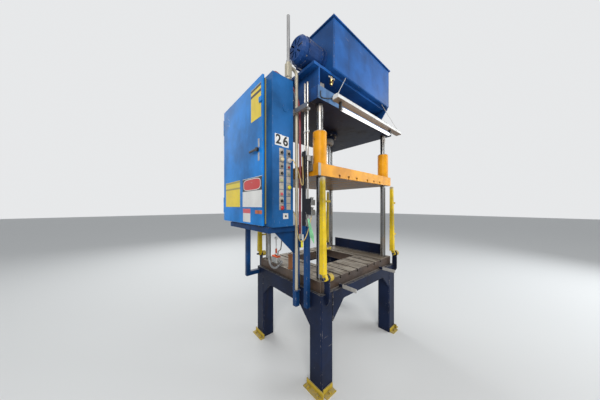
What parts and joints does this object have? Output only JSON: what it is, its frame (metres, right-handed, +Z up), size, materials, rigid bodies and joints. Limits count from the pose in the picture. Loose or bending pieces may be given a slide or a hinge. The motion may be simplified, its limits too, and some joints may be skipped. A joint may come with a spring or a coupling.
{
  "type": "four-column hydraulic press",
  "caption": "Four-column hydraulic press with T-slotted bed and platen, hinged safety props, overhead power unit and side control cabinet.",
  "frame": {"origin": "floor level, under the middle of the whole press's bounding box", "axes": "+X to the operator's right, +Y to the back of the press, +Z up the columns"},
  "size_m": [1.8536, 1.405, 3.3656],
  "materials": {
    "base_blue": "worn paint",
    "worn_steel": "worn, oily",
    "chrome_steel": "polished",
    "tank_blue": "gloss paint",
    "platen_orange": "gloss paint",
    "bare_steel": "machined",
    "motor_blue": "gloss paint",
    "brass": "satin",
    "cabinet_blue": "gloss paint",
    "black_plastic": "satin",
    "white_enamel": "enamel",
    "prop_yellow": "gloss paint",
    "ivory_conduit": "paint",
    "maroon_hose": "satin",
    "tan_cord": "satin",
    "grey_conduit": "satin",
    "mode_selector_colour": "satin",
    "cycle_start_button_colour": "satin",
    "jog_button_colour": "satin",
    "pump_selector_colour": "satin",
    "heat_selector_colour": "satin",
    "emergency_stop_button_colour": "satin",
    "key_selector_colour": "satin",
    "stop_button_colour": "satin",
    "inch_button_colour": "satin",
    "reset_button_colour": "satin"
  },
  "bodies": {
    "press": {"side_frame_left": "base_blue", "side_frame_right": "base_blue", "apron_front": "base_blue", "apron_rear": "base_blue", "bed_plate": "worn_steel", "column_front_left": "chrome_steel", "column_front_right": "chrome_steel", "column_rear_left": "chrome_steel", "column_rear_right": "chrome_steel", "crown": "tank_blue", "main_cylinder": "base_blue", "cylinder_gland": "bare_steel", "power_unit_deck": "tank_blue", "oil_tank": "tank_blue", "tank_lid": "tank_blue", "motor": "motor_blue", "fan_cover": "motor_blue", "valve_manifold": "bare_steel", "pressure_pipe": "bare_steel", "drain_valve": "brass", "cabinet": "cabinet_blue", "mounting_panel": "white_enamel", "cabinet_stand": "cabinet_blue", "switch_post": "cabinet_blue", "limit_switch_upper": "bare_steel", "limit_switch_lower": "bare_steel", "rod_guide": "bare_steel", "trip_rod_front": "chrome_steel", "trip_rod_rear": "chrome_steel", "work_light": "white_enamel", "lamp_tube": "white_enamel", "side_guard": "base_blue", "lever_valve": "bare_steel", "riser_conduit": "ivory_conduit", "top_conduit": "ivory_conduit", "red_hose": "maroon_hose", "panel_cord": "tan_cord", "switch_cord": "tan_cord", "flexible_conduit": "grey_conduit"},
    "ram": {"platen": "platen_orange", "ram_rod": "chrome_steel", "trip_arm": "bare_steel"},
    "door": {"cabinet_door": "cabinet_blue"},
    "handle": {"door_handle": "black_plastic"},
    "drain_lever": {"drain_lever": "bare_steel"},
    "control_lever": {"control_lever": "white_enamel"},
    "mode_selector": {"mode_selector": "mode_selector_colour"},
    "cycle_start_button": {"cycle_start_button": "cycle_start_button_colour"},
    "jog_button": {"jog_button": "jog_button_colour"},
    "pump_selector": {"pump_selector": "pump_selector_colour"},
    "heat_selector": {"heat_selector": "heat_selector_colour"},
    "emergency_stop_button": {"emergency_stop_button": "emergency_stop_button_colour"},
    "key_selector": {"key_selector": "key_selector_colour"},
    "stop_button": {"stop_button": "stop_button_colour"},
    "inch_button": {"inch_button": "inch_button_colour"},
    "reset_button": {"reset_button": "reset_button_colour"},
    "prop_front_left": {"safety_prop_front_left": "prop_yellow"},
    "prop_front_right": {"safety_prop_front_right": "prop_yellow"},
    "prop_rear_left": {"safety_prop_rear_left": "prop_yellow"},
    "prop_rear_right": {"safety_prop_rear_right": "prop_yellow"}
  },
  "joints": [
    {"name": "platen_slide", "type": "slide", "parent": "press", "child": "ram", "axis": [0, 0, 1], "range_m": [-0.45, 0.15]},
    {"name": "door_hinge", "type": "hinge", "parent": "press", "child": "door", "pos_m": [-0.89495, 0.685, 2.07], "axis": [0, 0, -1], "range_deg": [0, 110]},
    {"name": "handle_turn", "type": "hinge", "parent": "door", "child": "handle", "pos_m": [-0.89855, -0.1725, 2.085], "axis": [-1, 0, 0], "range_deg": [0, 90]},
    {"name": "drain_lever_turn", "type": "hinge", "parent": "press", "child": "drain_lever", "pos_m": [-0.31325, -0.5165, 2.7667], "axis": [0, -1, 0], "range_deg": [0, 90]},
    {"name": "control_lever_tilt", "type": "hinge", "parent": "press", "child": "control_lever", "pos_m": [-0.45975, 0.2175, 1.0369], "axis": [1, 0, 0], "range_deg": [-20, 20], "stiffness_Nm_per_rad": 3},
    {"name": "mode_selector_turn", "type": "hinge", "parent": "press", "child": "mode_selector", "pos_m": [-0.75825, -0.3125, 2.055], "axis": [0, 1, 0], "range_deg": [-45, 45]},
    {"name": "cycle_start_button_push", "type": "slide", "parent": "press", "child": "cycle_start_button", "axis": [0, 1, 0], "range_m": [0, 0.005], "stiffness_N_per_m": 400},
    {"name": "jog_button_push", "type": "slide", "parent": "press", "child": "jog_button", "axis": [0, 1, 0], "range_m": [0, 0.005], "stiffness_N_per_m": 400},
    {"name": "pump_selector_turn", "type": "hinge", "parent": "press", "child": "pump_selector", "pos_m": [-0.75825, -0.3125, 1.8786], "axis": [0, 1, 0], "range_deg": [-45, 45]},
    {"name": "heat_selector_turn", "type": "hinge", "parent": "press", "child": "heat_selector", "pos_m": [-0.75825, -0.3125, 1.6434], "axis": [0, 1, 0], "range_deg": [-45, 45]},
    {"name": "emergency_stop_button_push", "type": "slide", "parent": "press", "child": "emergency_stop_button", "axis": [0, 1, 0], "range_m": [0, 0.005], "stiffness_N_per_m": 400},
    {"name": "key_selector_turn", "type": "hinge", "parent": "press", "child": "key_selector", "pos_m": [-0.68325, -0.3125, 2.055], "axis": [0, 1, 0], "range_deg": [-45, 45]},
    {"name": "stop_button_push", "type": "slide", "parent": "press", "child": "stop_button", "axis": [0, 1, 0], "range_m": [0, 0.005], "stiffness_N_per_m": 400},
    {"name": "inch_button_push", "type": "slide", "parent": "press", "child": "inch_button", "axis": [0, 1, 0], "range_m": [0, 0.005], "stiffness_N_per_m": 400},
    {"name": "reset_button_push", "type": "slide", "parent": "press", "child": "reset_button", "axis": [0, 1, 0], "range_m": [0, 0.005], "stiffness_N_per_m": 400},
    {"name": "prop_front_left_hinge", "type": "hinge", "parent": "press", "child": "prop_front_left", "pos_m": [-0.49325, -0.5675, 0.985], "axis": [1, 0, 0], "range_deg": [0, 110]},
    {"name": "prop_front_right_hinge", "type": "hinge", "parent": "press", "child": "prop_front_right", "pos_m": [0.82675, -0.5675, 0.985], "axis": [1, 0, 0], "range_deg": [0, 110]},
    {"name": "prop_rear_left_hinge", "type": "hinge", "parent": "press", "child": "prop_rear_left", "pos_m": [-0.49325, 0.5625, 0.985], "axis": [-1, 0, 0], "range_deg": [0, 110]},
    {"name": "prop_rear_right_hinge", "type": "hinge", "parent": "press", "child": "prop_rear_right", "pos_m": [0.82675, 0.5625, 0.985], "axis": [-1, 0, 0], "range_deg": [0, 110]}
  ]
}
